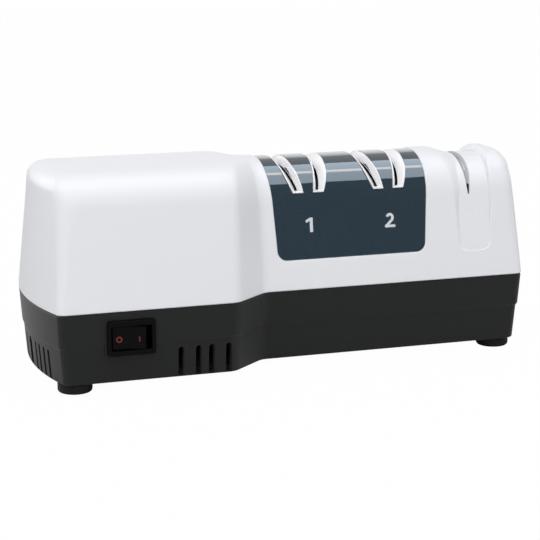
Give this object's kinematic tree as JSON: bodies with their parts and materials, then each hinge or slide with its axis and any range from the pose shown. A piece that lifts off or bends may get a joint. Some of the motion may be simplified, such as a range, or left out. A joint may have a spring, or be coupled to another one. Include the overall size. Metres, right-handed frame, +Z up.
{
  "type": "electric knife sharpener",
  "caption": "Electric knife sharpener with a white cover on a dark base, two pairs of powered slots in a glossy slate panel, a manual slot, a rocker switch and rubber feet.",
  "frame": {"origin": "middle of the footprint on the table, under the body's middle plane", "axes": "+X along the body from the motor to the manual stage, +Y to the rear, +Z up"},
  "size_m": [0.255, 0.0956, 0.1024],
  "materials": {
    "white_abs": "fine satin moulded ABS",
    "dark_abs": "fine matt moulded ABS",
    "slate_panel": "high-gloss slate-blue skin",
    "switch_black": "semi-gloss moulded nylon",
    "foot_rubber": "matt moulded rubber",
    "guide_plastic": "satin moulded acetal",
    "zinc_steel": "zinc-plated steel",
    "core_steel": "laminated electrical steel",
    "copper_wire": "bare copper",
    "taped_winding": "taped copper winding",
    "sintered_bronze": "oiled sintered bronze",
    "rotor_aluminium": "cast aluminium over steel",
    "diamond_abrasive": "diamond-coated steel",
    "natural_nylon": "natural nylon",
    "lead_red": "PVC insulation",
    "lead_blue": "PVC insulation",
    "ferrite": "sintered ferrite"
  },
  "bodies": {
    "housing": {"top_cover": "white_abs", "stage_panel": "slate_panel", "base_housing": "dark_abs", "slot_divider_1": "dark_abs", "slot_divider_2": "dark_abs", "foot_front_left": "foot_rubber", "foot_rear_left": "foot_rubber", "foot_front_right": "foot_rubber", "foot_rear_right": "foot_rubber", "motor_pad_front": "foot_rubber", "motor_pad_rear": "foot_rubber", "cord_inlet_bush": "foot_rubber", "case_screw_front_left": "zinc_steel", "case_screw_rear_left": "zinc_steel", "case_screw_front_right": "zinc_steel", "case_screw_rear_right": "zinc_steel", "motor_bracket_left": "zinc_steel", "motor_bracket_right": "zinc_steel", "motor_bolt_front": "zinc_steel", "motor_bolt_rear": "zinc_steel", "end_bearing_bracket": "zinc_steel", "roller_axle_left": "zinc_steel", "roller_axle_right": "zinc_steel", "switch_housing": "switch_black", "stator_core": "core_steel", "shading_ring_upper": "copper_wire", "shading_ring_lower": "copper_wire", "motor_coil": "taped_winding", "coil_bobbin": "natural_nylon", "terminal_block": "natural_nylon", "shaft_bush_left": "sintered_bronze", "shaft_bush_right": "sintered_bronze", "shaft_bush_end": "sintered_bronze", "knife_guide_1a": "guide_plastic", "knife_guide_1b": "guide_plastic", "knife_guide_2a": "guide_plastic", "knife_guide_2b": "guide_plastic", "roller_holder": "guide_plastic", "lead_live": "lead_red", "lead_switched": "lead_red", "lead_neutral": "lead_blue"},
    "clean_out": {"clean_out_cover": "dark_abs", "swarf_magnet": "ferrite"},
    "rocker": {"switch_rocker": "switch_black"},
    "drive_line": {"drive_shaft": "zinc_steel", "rotor": "rotor_aluminium", "cooling_fan": "natural_nylon", "retaining_ring_1a": "zinc_steel", "retaining_ring_1b": "zinc_steel", "retaining_ring_2a": "zinc_steel", "retaining_ring_2b": "zinc_steel", "disc_spring_1": "zinc_steel", "disc_spring_2": "zinc_steel"},
    "disc_1a": {"abrasive_disc_1a": "diamond_abrasive"},
    "disc_1b": {"abrasive_disc_1b": "diamond_abrasive"},
    "disc_2a": {"abrasive_disc_2a": "diamond_abrasive"},
    "disc_2b": {"abrasive_disc_2b": "diamond_abrasive"},
    "rollers_left": {"roller_set_left": "diamond_abrasive"},
    "rollers_right": {"roller_set_right": "diamond_abrasive"}
  },
  "joints": [
    {"name": "rocker_tilt", "type": "hinge", "parent": "housing", "child": "rocker", "pos_m": [-0.08645, -0.0403, 0.0267], "axis": [0, 0, 1], "range_deg": [0, 20]},
    {"name": "drive_spin", "type": "hinge", "parent": "housing", "child": "drive_line", "pos_m": [0, 0, 0.07], "axis": [1, 0, 0], "continuous": true},
    {"name": "disc_1a_slide", "type": "slide", "parent": "drive_line", "child": "disc_1a", "axis": [1, 0, 0], "range_m": [0, 0.0015], "stiffness_N_per_m": 300, "springref_m": -0.002, "deforming": ["disc_spring_1"]},
    {"name": "disc_1b_slide", "type": "slide", "parent": "drive_line", "child": "disc_1b", "axis": [-1, 0, 0], "range_m": [0, 0.0015], "stiffness_N_per_m": 300, "springref_m": -0.002, "deforming": ["disc_spring_1"]},
    {"name": "disc_2a_slide", "type": "slide", "parent": "drive_line", "child": "disc_2a", "axis": [1, 0, 0], "range_m": [0, 0.0015], "stiffness_N_per_m": 300, "springref_m": -0.002, "deforming": ["disc_spring_2"]},
    {"name": "disc_2b_slide", "type": "slide", "parent": "drive_line", "child": "disc_2b", "axis": [-1, 0, 0], "range_m": [0, 0.0015], "stiffness_N_per_m": 300, "springref_m": -0.002, "deforming": ["disc_spring_2"]},
    {"name": "rollers_left_spin", "type": "hinge", "parent": "housing", "child": "rollers_left", "pos_m": [0.09025, 0, 0.076], "axis": [0, 1, 0], "continuous": true},
    {"name": "rollers_right_spin", "type": "hinge", "parent": "housing", "child": "rollers_right", "pos_m": [0.10325, 0, 0.076], "axis": [0, 1, 0], "continuous": true},
    {"name": "clean_out_drop", "type": "slide", "parent": "housing", "child": "clean_out", "axis": [0, 0, -1], "range_m": [0, 0.004]}
  ]
}
